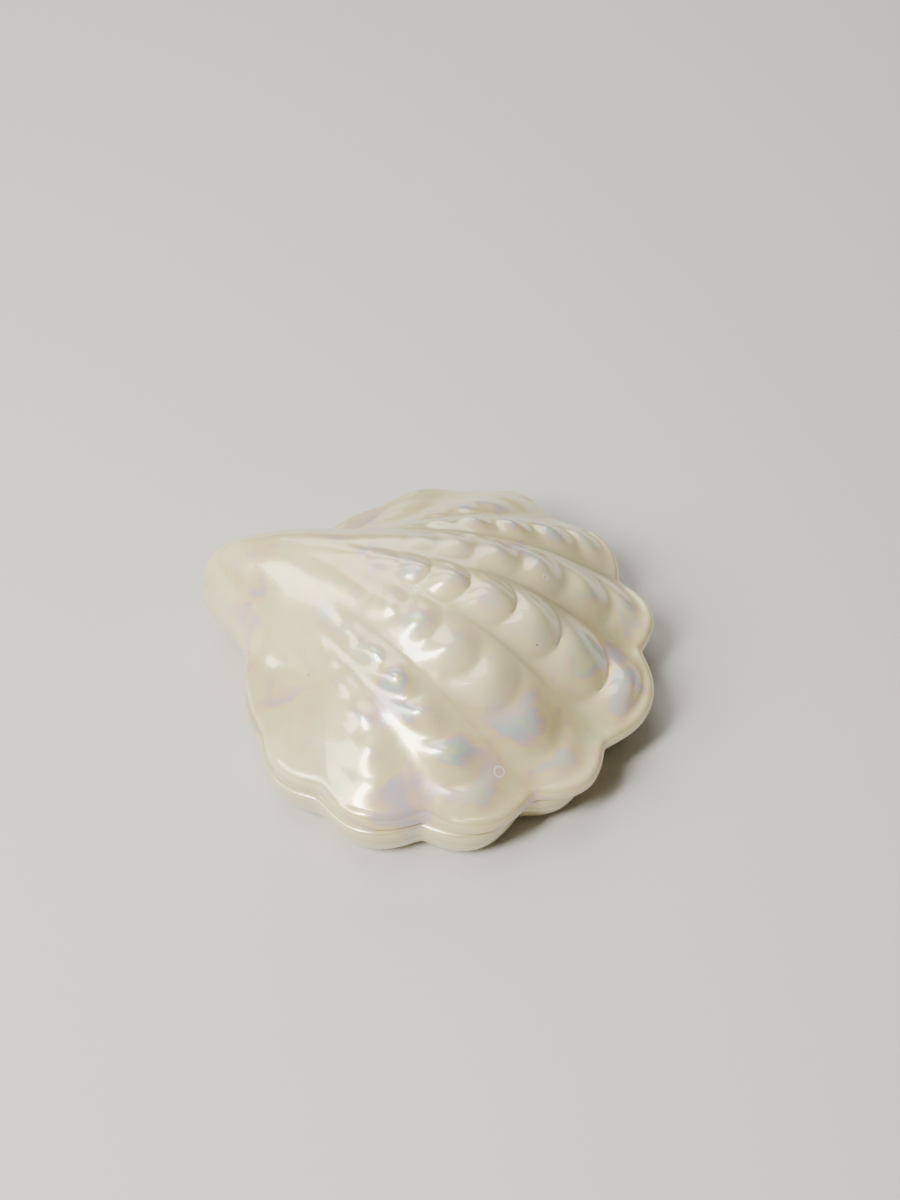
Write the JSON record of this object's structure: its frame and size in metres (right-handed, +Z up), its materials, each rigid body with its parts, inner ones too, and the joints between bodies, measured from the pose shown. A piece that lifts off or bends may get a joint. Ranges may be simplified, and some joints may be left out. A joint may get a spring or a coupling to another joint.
{
  "type": "trinket box",
  "caption": "Scallop shell trinket box in pearl lustre glaze: a hollow scalloped base under a beaded, ribbed lid that lifts off.",
  "frame": {"origin": "middle of the box's underside, at the centre of its bounding box", "axes": "+X from the shell's nose to the middle of its fan, +Y to the left when looking along +X, +Z up"},
  "size_m": [0.138, 0.1308, 0.0491],
  "materials": {
    "base_glaze": "glossy cream white pearl lustre glaze",
    "lid_glaze": "glossy cream white pearl lustre glaze with faint pink, yellow, green and violet patches"
  },
  "bodies": {
    "root": {"base": "base_glaze", "lid": "lid_glaze"}
  },
  "joints": []
}
